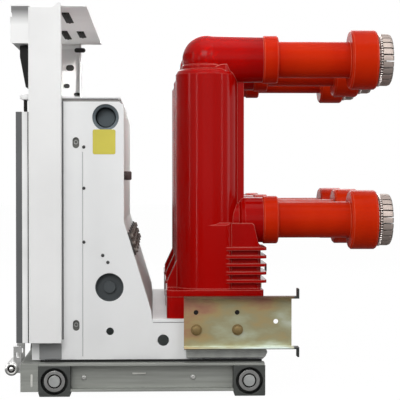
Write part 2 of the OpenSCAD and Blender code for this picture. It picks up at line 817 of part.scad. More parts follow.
wheel(wheel_xs[1], left);  // wheel_rear_left
wheel(wheel_xs[1], right);  // wheel_rear_right
pull_grips();
racking_boss();
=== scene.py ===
import bmesh
import bpy
import math
from mathutils import Matrix, Vector


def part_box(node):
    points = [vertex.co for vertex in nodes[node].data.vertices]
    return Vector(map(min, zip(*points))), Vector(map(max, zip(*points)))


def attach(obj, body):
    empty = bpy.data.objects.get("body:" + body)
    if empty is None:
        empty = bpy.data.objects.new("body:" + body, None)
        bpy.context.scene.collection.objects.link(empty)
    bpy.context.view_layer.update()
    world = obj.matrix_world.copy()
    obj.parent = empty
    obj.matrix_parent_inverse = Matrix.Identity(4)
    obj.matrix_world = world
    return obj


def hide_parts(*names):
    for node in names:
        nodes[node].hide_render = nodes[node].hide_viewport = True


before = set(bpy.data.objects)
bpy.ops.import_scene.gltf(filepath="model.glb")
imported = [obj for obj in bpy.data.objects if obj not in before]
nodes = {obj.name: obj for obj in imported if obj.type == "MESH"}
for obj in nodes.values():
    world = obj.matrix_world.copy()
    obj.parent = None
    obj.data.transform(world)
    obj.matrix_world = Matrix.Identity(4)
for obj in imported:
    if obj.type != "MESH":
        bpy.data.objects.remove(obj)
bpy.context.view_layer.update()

# ---- Camera ----
# A long lens at about the height of the arms' midpoint, square to the breaker's left side and
# turned a little down and to the rear. It stands beside the gap between housing and poles.

left_pole_y = sum(corner.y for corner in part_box("pole_left")) / 2
camera_data = bpy.data.cameras.new("camera")
camera_data.lens = 119.6
camera_data.clip_end = 50
camera = bpy.data.objects.new("camera", camera_data)
bpy.context.scene.collection.objects.link(camera)
camera.location = (-0.083, left_pole_y - 2.283, 0.360)
camera.rotation_euler = (math.radians(90 - 1.03), 0, math.radians(-2.03))
bpy.context.scene.camera = camera

# ---- Studio ----
# A pale floor that runs up into a white background. Large soft lamps hang above, in front and
# behind, the brightest of them high at the front left, and tall strip lamps stand at both ends, so
# that round castings carry streaks. Two small lamps reach the far side of the panel.

def lamp(name, place, target, size, power, spread=180):
    data = bpy.data.lights.new(name, "AREA")
    data.shape = "RECTANGLE"
    data.size, data.size_y = size
    data.energy = power
    data.spread = math.radians(spread)
    light = bpy.data.objects.new(name, data)
    light.location = place
    light.rotation_euler = (Vector(target) - Vector(place)).to_track_quat("-Z", "Y").to_euler()
    bpy.context.scene.collection.objects.link(light)


lamp("top_softbox", (0.1, -0.6, 2.3), (0, 0, 0.3), (2.0, 1.4), 10)
lamp("key_softbox", (-0.7, -3.0, 1.9), (0, 0, 0.3), (1.3, 1.5), 45)
lamp("camera_softbox", (0.10, -3.1, 0.85), (-0.1, 0, 0.4), (2.0, 1.6), 4)
lamp("right_softbox", (1.2, -1.6, 1.5), (-0.25, 0.1, 0.5), (0.6, 0.6), 8)
lamp("inner_softbox", (0.55, -0.55, 1.7), (-0.26, 0.31, 0.56), (0.3, 0.3), 1.4, 50)
lamp("flange_spot", (0.35, -1.1, 1.0), (-0.26, 0.31, 0.57), (0.15, 0.15), 0.34, 20)
lamp("front_strip", (-2.2, -0.95, 0.75), (0, -0.1, 0.35), (0.35, 1.7), 14)
lamp("left_strip", (-1.8, -2.5, 0.45), (0, -0.1, 0.35), (0.16, 1.5), 6)
lamp("rear_strip", (1.9, -1.45, 0.75), (0, -0.1, 0.35), (0.10, 1.7), 4)
lamp("tail_strip", (2.3, -0.3, 0.8), (0, -0.1, 0.35), (0.5, 1.6), 7)
lamp("far_softbox", (0.2, 2.4, 1.5), (0, 0, 0.3), (1.8, 1.2), 14)


# Gives a socket a plain value, or links another socket to it.
def feed(tree, socket, value):
    if isinstance(value, bpy.types.NodeSocket):
        tree.links.new(value, socket)
    else:
        socket.default_value = value


# A sum in a material, from sockets and plain numbers.
def maths(tree, operation, *values):
    node = tree.nodes.new("ShaderNodeMath")
    node.operation = operation
    for socket, value in zip(node.inputs, values):
        feed(tree, socket, value)
    return node.outputs[0]


# 1 for a ray of one of these kinds, and 0 for any other.
def seen_by(tree, *rays):
    path = tree.nodes.new("ShaderNodeLightPath")
    share = path.outputs[rays[0]]
    for ray in rays[1:]:
        share = maths(tree, "MAXIMUM", share, path.outputs[ray])
    return share


sky_fill_strength = 0.26
floor_colour = (0.29, 0.29, 0.29, 1)
floor_glow_strength = 1.07
floor_glow_share = 0.92

world = bpy.data.worlds.new("studio")
world.use_nodes = True
bpy.context.scene.world = world
sky = world.node_tree
sky.nodes.clear()
sky_out = sky.nodes.new("ShaderNodeOutputWorld")
sky_fill = sky.nodes.new("ShaderNodeBackground")
sky_fill.inputs["Strength"].default_value = sky_fill_strength
sky_white = sky.nodes.new("ShaderNodeBackground")
for backdrop in (sky_fill, sky_white):
    backdrop.inputs["Color"].default_value = (1.0, 1.0, 1.0, 1)
sky_mix = sky.nodes.new("ShaderNodeMixShader")
shown_white = seen_by(sky, "Is Camera Ray", "Is Glossy Ray", "Is Transmission Ray")
sky.links.new(shown_white, sky_mix.inputs["Fac"])
sky.links.new(sky_fill.outputs[0], sky_mix.inputs[1])
sky.links.new(sky_white.outputs[0], sky_mix.inputs[2])
sky.links.new(sky_mix.outputs[0], sky_out.inputs["Surface"])

floor_material = bpy.data.materials.new("studio_floor")
floor_material.use_nodes = True
floor_tree = floor_material.node_tree
floor_tree.nodes.clear()
floor_out = floor_tree.nodes.new("ShaderNodeOutputMaterial")
floor_paint = floor_tree.nodes.new("ShaderNodeBsdfDiffuse")
floor_paint.inputs["Color"].default_value = floor_colour
floor_glow = floor_tree.nodes.new("ShaderNodeEmission")
floor_glow.inputs["Strength"].default_value = floor_glow_strength
floor_mix = floor_tree.nodes.new("ShaderNodeMixShader")
glow_share = maths(floor_tree, "MULTIPLY", seen_by(floor_tree, "Is Camera Ray"), floor_glow_share)
floor_tree.links.new(glow_share, floor_mix.inputs["Fac"])
floor_tree.links.new(floor_paint.outputs[0], floor_mix.inputs[1])
floor_tree.links.new(floor_glow.outputs[0], floor_mix.inputs[2])
floor_tree.links.new(floor_mix.outputs[0], floor_out.inputs["Surface"])

floor_shape = bmesh.new()
bmesh.ops.create_grid(floor_shape, x_segments=1, y_segments=1, size=14)
floor_mesh = bpy.data.meshes.new("studio_floor")
floor_shape.to_mesh(floor_mesh)
floor_shape.free()
floor_mesh.materials.append(floor_material)
floor = bpy.data.objects.new("studio_floor", floor_mesh)
bpy.context.scene.collection.objects.link(floor)

bpy.context.scene.view_settings.view_transform = "Standard"

# ---- Front panel ----
# The panel is folded from white powder-coated sheet, with a flange down each side and a shelf on
# top. The coat has a faint orange-peel grain, and slight grime where hands and dust reach it.

def surface(name, roughness, metallic=0.0, gloss=0.5):
    material = bpy.data.materials.new(name)
    material.use_nodes = True
    shader = material.node_tree.nodes["Principled BSDF"]
    shader.inputs["Roughness"].default_value = roughness
    shader.inputs["Metallic"].default_value = metallic
    shader.inputs["Specular IOR Level"].default_value = gloss
    return material, material.node_tree, shader


# How strong a noise is at each point of the object.
def noise(tree, scale, detail=2.0, stretch=(1, 1, 1)):
    place = tree.nodes.new("ShaderNodeTexCoord")
    turn = tree.nodes.new("ShaderNodeMapping")
    turn.inputs["Scale"].default_value = stretch
    texture = tree.nodes.new("ShaderNodeTexNoise")
    texture.inputs["Scale"].default_value = scale
    texture.inputs["Detail"].default_value = detail
    tree.links.new(place.outputs["Object"], turn.inputs["Vector"])
    tree.links.new(turn.outputs["Vector"], texture.inputs["Vector"])
    return texture.outputs["Fac"]


# A colour that runs through stops of (share, colour).
def shades(tree, share, stops):
    ramp = tree.nodes.new("ShaderNodeValToRGB")
    while len(ramp.color_ramp.elements) < len(stops):
        ramp.color_ramp.elements.new(0.5)
    for element, (position, colour) in zip(ramp.color_ramp.elements, stops):
        element.position = position
        element.color = (*colour, 1)
    tree.links.new(share, ramp.inputs["Fac"])
    return ramp.outputs["Color"]


# Bumps on a surface, and edges that look slightly rounded.
def relief(tree, shader, height, strength, distance, edge=0.0008):
    soft = tree.nodes.new("ShaderNodeBevel")
    soft.samples = 6
    soft.inputs["Radius"].default_value = edge
    bump = tree.nodes.new("ShaderNodeBump")
    bump.inputs["Strength"].default_value = strength
    bump.inputs["Distance"].default_value = distance
    tree.links.new(soft.outputs["Normal"], bump.inputs["Normal"])
    tree.links.new(height, bump.inputs["Height"])
    tree.links.new(bump.outputs["Normal"], shader.inputs["Normal"])


def powder_coat(name, colour, roughness=0.45):
    material, tree, shader = surface(name, roughness, gloss=0.3)
    darker = tuple(c * 0.93 for c in colour)
    paint = shades(tree, noise(tree, 7, 5), [(0.3, darker), (0.62, colour)])
    tree.links.new(paint, shader.inputs["Base Color"])
    relief(tree, shader, noise(tree, 900, 2), 0.18, 0.0003)
    return material


def moulded(name, colour, roughness=0.45, gloss=0.35):
    material, tree, shader = surface(name, roughness, gloss=gloss)
    darker = tuple(c * 0.86 for c in colour)
    plastic = shades(tree, noise(tree, 14, 3), [(0.3, darker), (0.65, colour)])
    tree.links.new(plastic, shader.inputs["Base Color"])
    relief(tree, shader, noise(tree, 1400, 1), 0.25, 0.0002)
    return material


def dress(material, *names):
    for name in names:
        nodes[name].material_slots[0].material = material


def round_edges(shape, edges, offset, segments):
    bmesh.ops.bevel(shape, geom=list(edges), offset=offset, offset_type="OFFSET",
                    segments=segments, profile=0.5, affect="EDGES", material=-1)


def edges_of(made):
    return {edge for vert in made["verts"] for edge in vert.link_edges}


def cube_between(shape, low, high):
    low, high = Vector(low), Vector(high)
    middle = Matrix.LocRotScale((low + high) / 2, None, high - low)
    return bmesh.ops.create_cube(shape, size=1, matrix=middle)


# A block from two corners, with its edges rounded.
def add_block(shape, low, high, rounding):
    round_edges(shape, edges_of(cube_between(shape, low, high)), rounding, 3)


# A block whose four edges along one axis are rounded, as a stamped plate or an obround is.
def add_plate(shape, low, high, axis, radius, segments=5):
    edges = edges_of(cube_between(shape, low, high))
    corners = [edge for edge in edges
               if abs((edge.verts[0].co - edge.verts[1].co)[axis]) > 0.00001]
    round_edges(shape, corners, radius, segments)


# A turned shape: a profile of (radius, height) pairs, spun round an axis through its foot.
def add_turned(shape, foot, axis, profile, steps=32):
    foot, axis = Vector(foot), Vector(axis).normalized()
    across = axis.orthogonal().normalized()
    points = [shape.verts.new(foot + across * radius + axis * height) for radius, height in profile]
    lines = [shape.edges.new(pair) for pair in zip(points, points[1:])]
    bmesh.ops.spin(shape, geom=points + lines, cent=foot, axis=axis, angle=math.tau,
                   steps=steps, use_merge=True)
    bmesh.ops.remove_doubles(shape, verts=shape.verts, dist=0.000005)


# A hexagonal bolt head on its washer.
def add_bolt(shape, foot, axis, across_flats):
    foot, axis = Vector(foot), Vector(axis).normalized()
    turn = axis.to_track_quat("Z", "Y").to_matrix().to_4x4()
    size = across_flats / 2
    add_turned(shape, foot, axis,
               [(0, 0), (size * 1.35, 0), (size * 1.42, size * 0.06), (size * 1.42, size * 0.2),
                (size * 1.35, size * 0.26), (0, size * 0.26)], 24)
    head = bmesh.ops.create_cone(
        shape, cap_ends=True, segments=6, radius1=size * 1.15, radius2=size * 1.15,
        depth=size * 0.9, matrix=Matrix.Translation(foot + axis * size * 0.7) @ turn)
    round_edges(shape, edges_of(head), size * 0.1, 2)


# A round-headed screw, as a low dome with a sunk middle.
def add_screw(shape, foot, axis, radius):
    profile = [(0, 0), (1, 0), (1, 0.3), (0.86, 0.52), (0.6, 0.66), (0.34, 0.7), (0.24, 0.4),
               (0, 0.36)]
    add_turned(shape, foot, axis, [(radius * r, radius * h) for r, h in profile], 20)


def add_piece(name, shape, material):
    bmesh.ops.recalc_face_normals(shape, faces=shape.faces)
    for face in shape.faces:
        face.smooth = True
    mesh = bpy.data.meshes.new(name)
    shape.to_mesh(mesh)
    shape.free()
    mesh.materials.append(material)
    mesh.set_sharp_from_angle(angle=math.radians(32))
    piece = bpy.data.objects.new(name, mesh)
    bpy.context.scene.collection.objects.link(piece)
    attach(piece, "breaker")
    return piece


dress(powder_coat("panel_coat", (0.79, 0.79, 0.785)),
      "front_plate", "panel_flange_left", "panel_flange_right")
# The shelf's coat is paler than the panel's, though both are the same white sheet: painted light on
# the shelf's underside.
dress(powder_coat("shelf_coat_painted_light", (0.91, 0.915, 0.905)), "top_shelf")

panel_low, panel_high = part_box("front_plate")
shelf_low, shelf_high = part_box("top_shelf")
flange_low, flange_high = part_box("panel_flange_left")

# ---- Wiring grommets ----
# Black rubber membranes close the shelf's three wiring slots. Each is moulded with a thick rim
# that snaps over the sheet, and a ridge along its middle where the loom pushes through.

rubber = moulded("grommet_rubber", (0.016, 0.014, 0.013), 0.6, 0.10)
grommets = bmesh.new()
for back, near_y, length in ((0.044, -0.235, 0.150), (0.023, 0.050, 0.150), (0.054, 0.058, 0.112)):
    x_low, x_high = panel_high.x + back + 0.0002, panel_high.x + back + 0.0138
    add_block(grommets, (x_low, near_y + 0.0002, shelf_low.z + 0.0090),
              (x_high, near_y + length - 0.0002, shelf_high.z + 0.0012), 0.0009)
    middle = (x_low + x_high) / 2
    add_block(grommets, (middle - 0.0018, near_y + 0.006, shelf_low.z + 0.0076),
              (middle + 0.0018, near_y + length - 0.006, shelf_low.z + 0.0092), 0.0006)
add_piece("wiring_grommets", grommets, rubber)

# ---- Cable clips ----
# Black nylon clips hold the loom that comes down from the shelf. Three are flat buttons pushed
# into the far flange, and one grips the edge of its lip.

clips = bmesh.new()
inner_y = -flange_low.y - 0.0025
for back, height, wide, tall in ((0.026, 0.5875, 0.0085, 0.0062), (0.019, 0.5495, 0.0064, 0.0046),
                                 (0.0405, 0.532, 0.0064, 0.0032)):
    x, reach = panel_high.x + back, min(wide, tall) * 0.98
    add_plate(clips, (x - wide, inner_y - 0.0032, height - tall),
              (x + wide, inner_y, height + tall), 1, reach)
    add_plate(clips, (x - wide * 0.6, inner_y - 0.0046, height - tall * 0.55),
              (x + wide * 0.6, inner_y - 0.003, height + tall * 0.55), 1, reach * 0.5)
lip_x = flange_high.x
add_plate(clips, (lip_x - 0.0135, inner_y - 0.0262, 0.6178),
          (lip_x + 0.0095, inner_y - 0.0225, 0.6270), 1, 0.0044)
for jaw_low, jaw_high in ((lip_x - 0.0055, lip_x - 0.0026), (lip_x + 0.0001, lip_x + 0.003)):
    add_block(clips, (jaw_low, inner_y - 0.0230, 0.6190), (jaw_high, inner_y - 0.0130, 0.6258),
              0.0004)
add_piece("cable_clips", clips, moulded("clip_nylon", (0.026, 0.025, 0.024), 0.5, 0.15))

# ---- Hood and front cover ----
# Moulded white plastic, with a dark frame round the operating panel. The hood's neck is painted
# darker towards its top, as a painted shadow under the shelf's overhang.

# A point's place along one axis of the object.
def place_on(tree, axis):
    place = tree.nodes.new("ShaderNodeTexCoord")
    axes = tree.nodes.new("ShaderNodeSeparateXYZ")
    tree.links.new(place.outputs["Object"], axes.inputs["Vector"])
    return axes.outputs[axis]


# How far a value has come from one limit to another, between 0 and 1.
def share_between(tree, value, start, end):
    node = tree.nodes.new("ShaderNodeMapRange")
    node.inputs["From Min"].default_value = start
    node.inputs["From Max"].default_value = end
    tree.links.new(value, node.inputs["Value"])
    return node.outputs["Result"]


hood_low, hood_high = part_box("top_hood")
hood_plastic, hood_tree, hood_shader = surface("hood_plastic", 0.42, gloss=0.35)
# Darker towards the hood's top edge: a painted shadow under the shelf's overhang.
hood_rise = share_between(hood_tree, place_on(hood_tree, "Z"),
                          hood_high.z - 0.030, hood_high.z - 0.003)
hood_colour_and_shadow = shades(hood_tree, hood_rise,
                     [(0.0, (0.80, 0.80, 0.795)), (0.35, (0.60, 0.60, 0.595)),
                      (0.65, (0.34, 0.34, 0.34)), (0.9, (0.15, 0.15, 0.15))])
hood_tree.links.new(hood_colour_and_shadow, hood_shader.inputs["Base Color"])
relief(hood_tree, hood_shader, noise(hood_tree, 1400, 1), 0.25, 0.0002)
dress(hood_plastic, "top_hood")

cover_plastic = moulded("cover_plastic", (0.85, 0.85, 0.845))
dress(cover_plastic, "front_cover")
dress(moulded("frame_plastic", (0.100, 0.102, 0.105)), "cover_frame")
dress(moulded("plug_plastic", (0.010, 0.010, 0.010), 0.4, 0.10), "plug_housing")

# ---- Operating panel ----
# A pale moulded fascia fills the window in the dark frame. It carries the two push buttons in
# their collars, two indicator windows, a counter window and the socket for the charging crank.

cover_low, cover_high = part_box("front_cover")
buttons_low, buttons_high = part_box("push_buttons")
fascia_back = buttons_high.x
fascia_front = fascia_back - 0.002
button_z = (buttons_low.z + buttons_high.z) / 2
button_r = (buttons_high.z - buttons_low.z) / 2
button_ys = (buttons_low.y + button_r, buttons_high.y - button_r)
fascia_margin = 0.0245
fascia_low_z = cover_low.z + fascia_margin
fascia_high_z = cover_high.z - fascia_margin
fascia_side = cover_high.y - fascia_margin
window_boxes = ((-0.093, -0.043, 0.352, 0.382), (-0.013, 0.037, 0.352, 0.382),
                (-0.055, -0.001, 0.228, 0.250))
window_rim = 0.003

fascia = bmesh.new()
add_block(fascia, (fascia_front, -fascia_side, fascia_low_z),
          (fascia_back, fascia_side, fascia_high_z), 0.0008)
for y in button_ys:
    add_turned(fascia, (fascia_front, y, button_z), (-1, 0, 0),
               [(button_r + 0.0006, 0), (button_r + 0.0006, 0.0028), (button_r + 0.0014, 0.0034),
                (button_r + 0.0034, 0.0034), (button_r + 0.0044, 0.0024),
                (button_r + 0.0044, 0)], 40)
for y_low, y_high, z_low, z_high in window_boxes:
    y_before, y_after = y_low - window_rim, y_high + window_rim
    z_under, z_over = z_low - window_rim, z_high + window_rim
    for low, high in (((y_before, z_under), (y_after, z_low)),
                      ((y_before, z_high), (y_after, z_over)),
                      ((y_before, z_low), (y_low, z_high)),
                      ((y_high, z_low), (y_after, z_high))):
        add_block(fascia, (fascia_front - 0.0022, *low), (fascia_front + 0.0004, *high), 0.0006)
add_piece("operator_fascia", fascia, moulded("fascia_plastic", (0.55, 0.56, 0.57)))

windows = bmesh.new()
for y_low, y_high, z_low, z_high in window_boxes:
    add_block(windows, (fascia_front - 0.0012, y_low, z_low),
              (fascia_front + 0.0004, y_high, z_high), 0.0003)
add_piece("indicator_windows", windows,
          moulded("window_glass", (0.012, 0.013, 0.015), 0.08))

flags = bmesh.new()
for y_low, y_high in ((-0.086, -0.050), (-0.006, 0.030)):
    add_block(flags, (fascia_front - 0.0016, y_low, 0.358), (fascia_front - 0.0011, y_high, 0.376),
              0.0002)
add_piece("indicator_flags", flags, moulded("flag_plastic", (0.62, 0.60, 0.52), 0.4))

crank_socket = bmesh.new()
crank_seat = (fascia_front, 0.105, 0.262)
add_turned(crank_socket, crank_seat, (-1, 0, 0),
           [(0.022, 0), (0.022, 0.003), (0.0205, 0.0042), (0.013, 0.0042), (0.012, 0.0034),
            (0.012, 0.0006), (0, 0.0006)], 40)
add_turned(crank_socket, crank_seat, (-1, 0, 0),
           [(0, 0.0036), (0.0052, 0.0036), (0.0062, 0.0028), (0.0062, 0.0004), (0, 0.0004)], 6)
for y in (-fascia_side + 0.012, fascia_side - 0.012):
    for z in (fascia_low_z + 0.012, fascia_high_z - 0.012):
        add_screw(crank_socket, (fascia_front, y, z), (-1, 0, 0), 0.0045)
add_piece("crank_socket", crank_socket,
          moulded("socket_plastic", (0.04, 0.041, 0.042), 0.35))

# The button that closes the breaker is green and the one that opens it is red.
button_plastic, button_tree, button_shader = surface("button_plastic", 0.28, gloss=0.4)
button_side = share_between(button_tree, place_on(button_tree, "Y"), buttons_low.y, buttons_high.y)
button_colour = shades(button_tree, button_side,
                       [(0.45, (0.02, 0.22, 0.05)), (0.55, (0.42, 0.015, 0.012))])
button_tree.links.new(button_colour, button_shader.inputs["Base Color"])
relief(button_tree, button_shader, noise(button_tree, 1200, 1), 0.15, 0.0002)
dress(button_plastic, "push_buttons")

button_signs = bmesh.new()
sign_x = buttons_low.x
add_block(button_signs, (sign_x - 0.0005, button_ys[0] - 0.0012, button_z - 0.0065),
          (sign_x + 0.0004, button_ys[0] + 0.0012, button_z + 0.0065), 0.0002)
add_turned(button_signs, (sign_x, button_ys[1], button_z), (-1, 0, 0),
           [(0.0042, -0.0004), (0.0042, 0.0005), (0.0065, 0.0005), (0.0065, -0.0004),
            (0.0042, -0.0004)], 32)
add_piece("button_signs", button_signs, moulded("sign_paint", (0.8, 0.8, 0.78), 0.5))

# ---- Door catch ----
# A pale gray catch on the front plate between the plug's housing and the cover, with a black
# rubber stop under it.

plug_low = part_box("plug_housing")[0]
catch_y = panel_low.y + 0.002
catch = bmesh.new()
add_block(catch, (panel_low.x - 0.0115, catch_y, plug_low.z - 0.0215),
          (panel_low.x, catch_y + 0.034, plug_low.z - 0.0125), 0.0012)
add_block(catch, (panel_low.x - 0.0145, catch_y + 0.004, plug_low.z - 0.0195),
          (panel_low.x - 0.0105, catch_y + 0.030, plug_low.z - 0.0145), 0.001)
add_piece("door_catch", catch, cover_plastic)
catch_stop = bmesh.new()
add_block(catch_stop, (panel_low.x - 0.008, catch_y + 0.002, cover_high.z + 0.0004),
          (panel_low.x - 0.0045, catch_y + 0.030, plug_low.z - 0.0218), 0.0006)
add_piece("catch_stop", catch_stop, rubber)

# ---- Panel screws ----
# Plated round-headed screws hold the hood and the dark frame to the front plate. Their zinc is
# bright, with fine streaks.

def steel(name, colour, roughness, stretch=(1, 1, 1), metallic=1.0):
    material, tree, shader = surface(name, roughness, metallic)
    streaks = noise(tree, 60, 4, stretch)
    darker = tuple(c * 0.78 for c in colour)
    metal = shades(tree, streaks, [(0.3, darker), (0.68, colour)])
    tree.links.new(metal, shader.inputs["Base Color"])
    relief(tree, shader, streaks, 0.15, 0.0004)
    return material


frame_low, frame_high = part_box("cover_frame")
panel_screws = bmesh.new()
for y in (-0.27, -0.09, 0.09, 0.27):
    add_screw(panel_screws, (hood_low.x, y, hood_low.z + 0.02), (-1, 0, 0), 0.0045)
    for z in (frame_low.z + 0.012, frame_high.z - 0.012):
        add_screw(panel_screws, (frame_low.x, y, z), (-1, 0, 0), 0.0045)
add_piece("panel_screws", panel_screws, steel("bright_zinc", (0.55, 0.56, 0.55), 0.3))

# ---- Housing ----
# Side plates, cover and tray are white powder-coated sheet, bolted together. The rear wall, the
# base and the drive's case behind it have a duller gray coat.

dress(powder_coat("housing_coat", (0.78, 0.785, 0.785)),
      "side_plate_left", "side_plate_right", "top_cover", "pole_tray")
dress(powder_coat("inner_coat", (0.60, 0.655, 0.64)), "base_pan")
dress(powder_coat("case_coat", (0.085, 0.108, 0.120)), "mechanism_case")
# The shaft's steel is much darker than bare steel: partly oil, partly painted shade in the hole
# through the side plate.
dress(steel("shaft_steel_oil_and_shade", (0.045, 0.053, 0.057), 0.55, metallic=0.2), "main_shaft")

# The rear wall is paler above the slope than on it: the slope's darker colour is painted shade.
wall_coat, wall_tree, wall_shader = surface("wall_coat", 0.45, gloss=0.3)
wall_rise = share_between(wall_tree, place_on(wall_tree, "Z"), 0.262, 0.300)
wall_colour_and_shade = shades(wall_tree, wall_rise, [(0.0, (0.60, 0.65, 0.63)), (1.0, (0.88, 0.95, 0.91))])
wall_tree.links.new(wall_colour_and_shade, wall_shader.inputs["Base Color"])
relief(wall_tree, wall_shader, noise(wall_tree, 900, 2), 0.18, 0.0003)
dress(wall_coat, "rear_wall")

plate_low, plate_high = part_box("side_plate_left")
wall_low, wall_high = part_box("rear_wall")
housing_side = -plate_low.y

# ---- Fold seams ----
# Each side is two sheets, spot-welded along an upright joggle. A fine gray strip along it is
# painted shade of the joggle's step.

# The corners of a box on the right side, and of its mirror image on the left.
def both_sides(low, high):
    for side in (-1, 1):
        y_low, y_high = sorted((side * low[1], side * high[1]))
        yield (low[0], y_low, low[2]), (high[0], y_high, high[2])


fold_x = panel_high.x + 0.084
# A gray strip of painted shade along each joggle.
seams = bmesh.new()
for low, high in both_sides((fold_x - 0.0006, housing_side, plate_low.z + 0.006),
                            (fold_x + 0.0006, housing_side + 0.0003, plate_high.z - 0.083)):
    cube_between(seams, low, high)
add_piece("fold_seams", seams, powder_coat("seam_shade_paint", (0.42, 0.425, 0.43), 0.6))

# ---- Flange shadow strips and tray joint ----
# A thin dark strip in the gap between the panel's folded lips and the housing's sides is a
# painted shadow of the lips, and a fine dark joint runs under the pole tray's edge.

tray_low, tray_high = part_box("pole_tray")
flange_shadow_and_tray_joint = bmesh.new()
# Painted shadow beside each folded lip.
for low, high in both_sides((flange_high.x + 0.0002, housing_side - 0.0004, plate_low.z + 0.034),
                            (flange_high.x + 0.0026, housing_side + 0.0006, plate_high.z)):
    add_block(flange_shadow_and_tray_joint, low, high, 0.0002)
for low, high in both_sides((tray_low.x + 0.001, housing_side - 0.0006, tray_low.z - 0.0009),
                            (tray_high.x - 0.001, housing_side + 0.0003, tray_low.z + 0.0001)):
    add_block(flange_shadow_and_tray_joint, low, high, 0.0002)
add_piece("flange_shadow_and_tray_joint", flange_shadow_and_tray_joint, moulded("shadow_strip_and_joint_foam", (0.15, 0.15, 0.15), 0.7))

# ---- Shadow strips and joint bead ----
# A gray strip under the top cover's rim is a painted shadow in the gap there, and black strips
# between the housing's floor and the truck are a painted shadow in that gap. A dark bead joins
# the front cover to the plate.

rim_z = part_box("top_cover")[0].z
# Painted shadow under the top cover's rim.
rim_shadow_strips = bmesh.new()
for low, high in both_sides((flange_high.x + 0.001, housing_side - 0.006, rim_z - 0.0002),
                            (wall_low.x + 0.006, housing_side - 0.0025, rim_z + 0.0052)):
    add_block(rim_shadow_strips, low, high, 0.0004)
add_piece("rim_shadow_strips", rim_shadow_strips, powder_coat("rim_shadow_gray", (0.26, 0.25, 0.245), 0.8))

pan_low, pan_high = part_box("base_pan")
floor_shadow_strips_and_bead = bmesh.new()
# Painted shadow between the housing's floor and the truck.
for low, high in both_sides((pan_low.x + 0.014, housing_side - 0.009, pan_low.z - 0.011),
                            (pan_high.x, housing_side - 0.0035, pan_low.z - 0.0001)):
    add_block(floor_shadow_strips_and_bead, low, high, 0.0008)
for low, high in both_sides((pan_low.x + 0.022, housing_side + 0.0078, pan_low.z - 0.0019),
                            (pan_high.x, housing_side + 0.0110, pan_low.z + 0.0018)):
    add_block(floor_shadow_strips_and_bead, low, high, 0.0005)
for low, high in both_sides((cover_high.x - 0.0018, cover_high.y - 0.0004, cover_low.z),
                            (cover_high.x + 0.0001, cover_high.y + 0.0014, cover_high.z)):
    add_block(floor_shadow_strips_and_bead, low, high, 0.0004)
add_piece("floor_shadow_strips_and_bead", floor_shadow_strips_and_bead,
          moulded("shadow_and_bead_rubber", (0.014, 0.014, 0.014), 0.6, 0.1))

# ---- Foot plates ----
# A dark gray plate lies on the foot of each side plate, under the panel's flange: a painted
# shadow of the flange. Its corners are slightly rounded.

flange_shadow_plates = bmesh.new()
for low, high in both_sides(
        (panel_high.x + 0.0125, housing_side - 0.0002, plate_low.z + 0.0012),
        (panel_high.x + 0.0490, housing_side + 0.0014, flange_low.z - 0.004)):
    add_plate(flange_shadow_plates, low, high, 1, 0.0012)
add_piece("flange_shadow_plates", flange_shadow_plates,
          powder_coat("flange_shadow_coat", (0.24, 0.245, 0.245), 0.5))

# ---- Housing rivets ----
# Low steel rivets, painted over, along the fold, beside the drive's bearing and close behind the
# panel. Each is a turned dome.

rivet_places = ((0.086, 0.408), (0.086, 0.340), (0.086, 0.251), (0.117, 0.229), (0.1255, 0.2175),
                (0.018, 0.44), (0.018, 0.30), (0.018, 0.12))
rivets = bmesh.new()
for side in (-1, 1):
    for back, height in rivet_places:
        add_turned(rivets, (panel_high.x + back, side * housing_side, height), (0, side, 0),
                   [(0, 0), (0.0028, 0), (0.0028, 0.0005), (0.0023, 0.0011), (0.0013, 0.0015),
                    (0, 0.0016)], 16)
add_piece("housing_rivets", rivets,
          steel("rivet_steel", (0.035, 0.035, 0.035), 0.5, metallic=0.3))

# ---- Slot nuts ----
# A zinc-plated cage nut sits behind each upright slot of the side plates. Its nut stands in the
# middle as a bright ring round the bolt hole.

slot_x = panel_high.x + 0.073
nut_face = housing_side - 0.0034
cage_nuts = bmesh.new()
nut_rings = bmesh.new()
for z in (0.113, 0.415):
    for low, high in both_sides((slot_x - 0.0075, housing_side - 0.0072, z - 0.0115),
                                (slot_x + 0.0075, nut_face, z + 0.0115)):
        add_plate(cage_nuts, low, high, 1, 0.002)
    for side in (-1, 1):
        add_turned(nut_rings, (slot_x, side * nut_face, z + 0.001), (0, side, 0),
                   [(0.0022, -0.002), (0.0022, 0.0008), (0.0030, 0.0011), (0.0034, 0.0011),
                    (0.0036, 0.0005), (0.0036, -0.002), (0.0022, -0.002)], 20)
add_piece("cage_nuts", cage_nuts,
          steel("cage_steel", (0.11, 0.11, 0.10), 0.5, metallic=0.3))
add_piece("nut_rings", nut_rings,
          steel("nut_zinc", (0.34, 0.34, 0.33), 0.45, metallic=0.4))

# ---- Lifting labels ----
# A plain yellow label, left bare, is stuck beside each lifting hole. Its film is slightly glossy
# and has faded unevenly.

label_film, label_tree, label_shader = surface("label_film", 0.35, gloss=0.4)
label_fade = noise(label_tree, 18, 3)
label_colour = shades(label_tree, label_fade,
                      [(0.3, (0.53, 0.46, 0.060)), (0.7, (0.60, 0.53, 0.068))])
label_tree.links.new(label_colour, label_shader.inputs["Base Color"])
relief(label_tree, label_shader, label_fade, 0.08, 0.0004)

label_x, label_z = panel_high.x + 0.1195, 0.4165
label_wide, label_tall = 0.0375, 0.041
labels = bmesh.new()
for low, high in both_sides(
        (label_x - label_wide / 2, housing_side, label_z - label_tall / 2),
        (label_x + label_wide / 2, housing_side + 0.00025, label_z + label_tall / 2)):
    add_plate(labels, low, high, 1, 0.003, 4)
add_piece("lifting_labels", labels, label_film)

# ---- Lifting hole bushes ----
# A pressed ring of blued steel lies behind each lifting hole and takes the hook's load. Its
# mouth is rounded, and the drive case's boss stands behind it.

